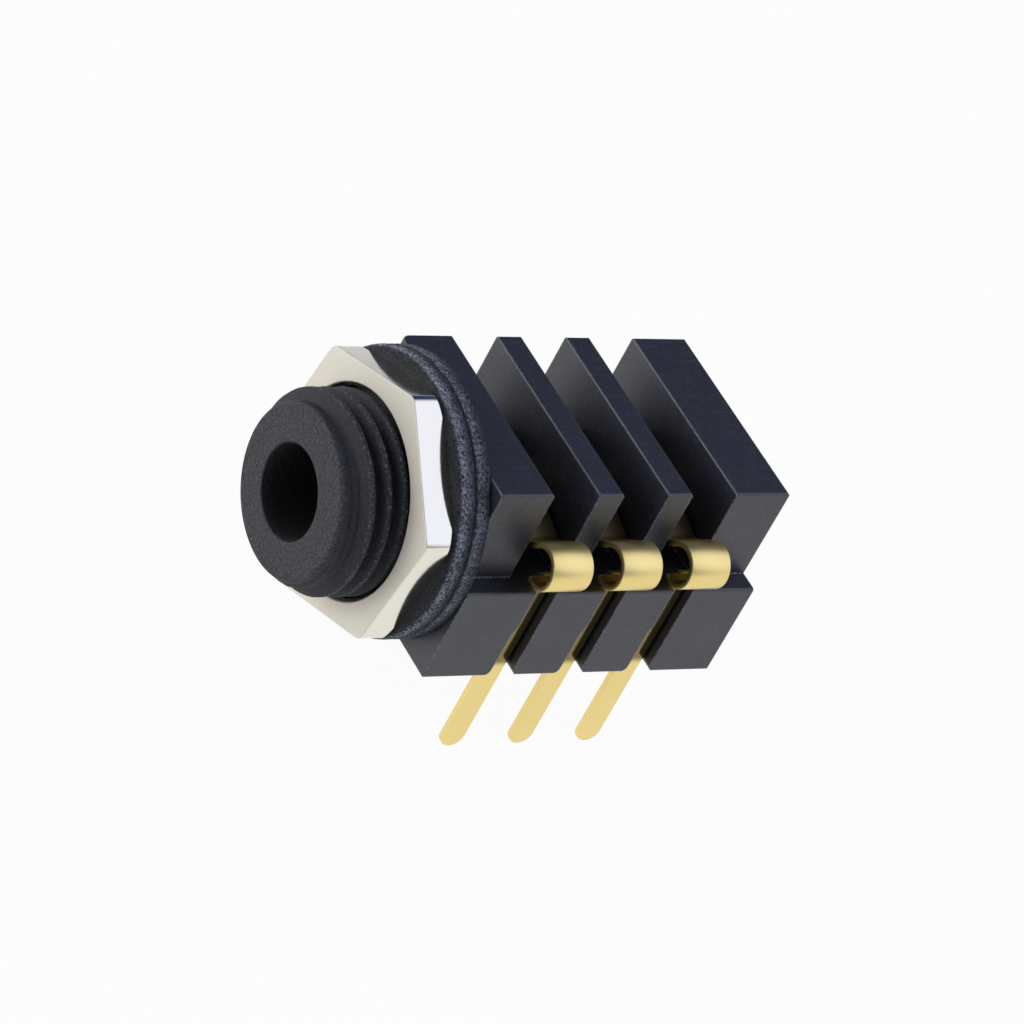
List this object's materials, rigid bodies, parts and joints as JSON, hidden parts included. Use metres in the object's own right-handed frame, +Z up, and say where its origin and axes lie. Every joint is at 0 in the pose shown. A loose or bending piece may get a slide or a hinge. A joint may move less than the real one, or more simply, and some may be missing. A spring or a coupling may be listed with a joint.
{
  "type": "audio jack socket",
  "caption": "Jack socket for panel and board: threaded bush with hexagon nut and fibre washers, finned moulded body, and bent spring contacts that end in solder pins.",
  "frame": {"origin": "on the bore axis, in the plane where the moulding's front shoulder meets the rear washer", "axes": "-Y is the way out of the bore, +Z is up with the solder pins pointing down along -Z, +X is the side with the spring loops and pins"},
  "size_m": [0.0122, 0.0191, 0.0142],
  "materials": {
    "moulding": "satin black moulded thermoplastic",
    "washer_fibre": "black vulcanised fibre with rough punched rims",
    "nickel_plate": "nickel-plated brass with turned and sheared marks",
    "gold_plate": "gold-plated spring bronze strip"
  },
  "bodies": {
    "base": {"housing": "moulding", "rear_washer": "washer_fibre", "sleeve_contact": "gold_plate", "ring_contact": "gold_plate", "tip_contact": "gold_plate"},
    "washer": {"front_washer": "washer_fibre"},
    "nut": {"hex_nut": "nickel_plate"}
  },
  "joints": [
    {"name": "washer_slide", "type": "slide", "parent": "base", "child": "washer", "axis": [0, -1, 0], "range_m": [0, 0.00225]},
    {"name": "nut_turn", "type": "hinge", "parent": "washer", "child": "nut", "pos_m": [0, 0, 0], "axis": [0, -1, 0], "range_deg": [0, 1081]}
  ],
  "couplings": [
    {"joint": "nut_turn", "follows": "washer_slide", "rad_per_m": 8377.6}
  ]
}
